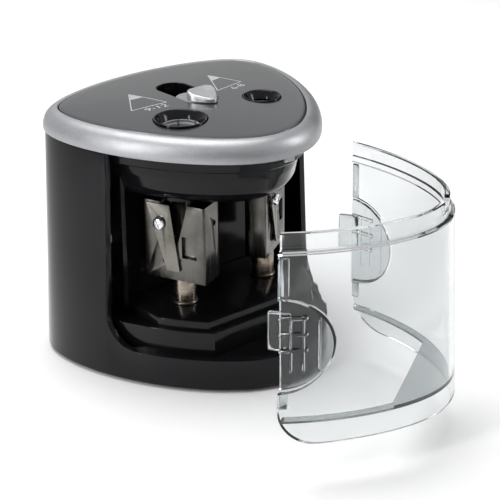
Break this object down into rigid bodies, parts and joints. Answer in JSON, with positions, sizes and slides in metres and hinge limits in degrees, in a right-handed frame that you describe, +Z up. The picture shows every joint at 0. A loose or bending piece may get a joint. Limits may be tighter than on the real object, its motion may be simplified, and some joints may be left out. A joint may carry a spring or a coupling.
{
  "type": "electric pencil sharpener",
  "caption": "Rounded-triangle desk pencil sharpener with a selector between two pencil holes, two powered cutters and a clear pull-off shavings cover.",
  "frame": {"origin": "middle of the footprint of the sharpener with its cover taken off in front, on the desk", "axes": "+Z up, +Y to the back of the sharpener, +X to its right seen from the front"},
  "size_m": [0.113, 0.1793, 0.1057],
  "materials": {
    "gloss_black": "polished black ABS",
    "satin_black": "satin black ABS",
    "plate_grey": "dark grey semi-gloss ABS",
    "silver_paint": "satin silver paint on ABS",
    "guide_grey": "grey nylon",
    "clear_plastic": "clear moulded styrene, standing in as glass",
    "dark_steel": "brushed steel",
    "bright_steel": "bright steel",
    "bush_steel": "bronze-tinted turned steel",
    "gear_nylon": "natural white nylon",
    "pinion_brass": "turned brass",
    "foot_rubber": "black rubber",
    "cell_wrap": "printed wrap, plain green"
  },
  "bodies": {
    "housing": {"body_shell": "gloss_black", "large_bezel": "gloss_black", "small_bezel": "gloss_black", "top_frame": "gloss_black", "gearbox_cover": "satin_black", "chamber_wall": "satin_black", "base_plate": "satin_black", "interlock_switch": "satin_black", "top_plate": "plate_grey", "top_rim": "silver_paint", "pencil_guide": "guide_grey", "reduction_pin": "dark_steel", "motor": "dark_steel", "base_screw_1": "dark_steel", "battery_cell_1": "cell_wrap", "base_screw_2": "dark_steel", "battery_cell_2": "cell_wrap", "base_screw_3": "dark_steel", "battery_cell_3": "cell_wrap", "base_screw_4": "dark_steel", "battery_cell_4": "cell_wrap", "front_foot": "foot_rubber", "left_rear_foot": "foot_rubber", "right_rear_foot": "foot_rubber", "left_top_contact": "bright_steel", "left_bottom_contact": "bright_steel", "right_top_contact": "bright_steel", "right_bottom_contact": "bright_steel"},
    "cover_catch": {"cover_catch": "clear_plastic"},
    "cover": {"shavings_cover": "clear_plastic"},
    "left_latch": {"left_latch": "clear_plastic"},
    "right_latch": {"right_latch": "clear_plastic"},
    "selector": {"shutter": "silver_paint", "selector_knob": "silver_paint"},
    "large_cutter": {"large_cutter_housing": "dark_steel", "large_cutter_blade": "bright_steel", "large_blade_screw": "bright_steel", "large_spindle_bush": "bush_steel", "large_spindle": "dark_steel", "large_cutter_gear": "gear_nylon"},
    "small_cutter": {"small_cutter_housing": "dark_steel", "small_cutter_blade": "bright_steel", "small_blade_screw": "bright_steel", "small_spindle_bush": "bush_steel", "small_spindle": "dark_steel", "small_cutter_gear": "gear_nylon"},
    "reduction_gear": {"reduction_gear": "gear_nylon"},
    "motor_pinion": {"motor_pinion": "pinion_brass"},
    "battery_door": {"battery_door": "satin_black"},
    "interlock_plunger": {"interlock_plunger": "guide_grey"}
  },
  "joints": [
    {"name": "cover_pull", "type": "slide", "parent": "housing", "child": "cover_catch", "axis": [0.2408, -0.9706, 0], "range_m": [-0.06852, 0]},
    {"name": "cover_turn", "type": "hinge", "parent": "cover_catch", "child": "cover", "pos_m": [0.0165, -0.08185, 0.086], "axis": [0, 0, 1], "range_deg": [-32, 0]},
    {"name": "left_latch_flex", "type": "hinge", "parent": "cover", "child": "left_latch", "pos_m": [-0.03468, -0.07515, 0.0505], "axis": [0, 0, -1], "range_deg": [0, 5], "stiffness_Nm_per_rad": 0.3},
    {"name": "right_latch_flex", "type": "hinge", "parent": "cover", "child": "right_latch", "pos_m": [0.03291, -0.03291, 0.0505], "axis": [0, 0, 1], "range_deg": [0, 5], "stiffness_Nm_per_rad": 0.3},
    {"name": "selector_slide", "type": "slide", "parent": "housing", "child": "selector", "axis": [0, 1, 0], "range_m": [0, 0.012]},
    {"name": "large_cutter_spin", "type": "hinge", "parent": "housing", "child": "large_cutter", "pos_m": [-0.0198, 0.02355, 0.033], "axis": [0, 0, 1], "continuous": true},
    {"name": "small_cutter_spin", "type": "hinge", "parent": "housing", "child": "small_cutter", "pos_m": [0.0198, 0.02355, 0.033], "axis": [0, 0, 1], "continuous": true},
    {"name": "reduction_spin", "type": "hinge", "parent": "housing", "child": "reduction_gear", "pos_m": [0, 0.03526, 0.01], "axis": [0, 0, 1], "continuous": true},
    {"name": "motor_spin", "type": "hinge", "parent": "housing", "child": "motor_pinion", "pos_m": [0, 0.05526, 0.008], "axis": [0, 0, 1], "continuous": true},
    {"name": "battery_door_swing", "type": "hinge", "parent": "housing", "child": "battery_door", "pos_m": [0, 0.07195, 0.0014], "axis": [1, 0, 0], "range_deg": [0, 95]},
    {"name": "interlock_press", "type": "slide", "parent": "housing", "child": "interlock_plunger", "axis": [0, 1, 0], "range_m": [0, 0.0015], "stiffness_N_per_m": 200}
  ],
  "couplings": [
    {"joint": "cover_turn", "follows": "cover_pull", "rad_per_m": 8.1513},
    {"joint": "small_cutter_spin", "follows": "large_cutter_spin", "ratio": 1},
    {"joint": "reduction_spin", "follows": "large_cutter_spin", "ratio": -2.8333},
    {"joint": "motor_spin", "follows": "large_cutter_spin", "ratio": 11.333}
  ]
}
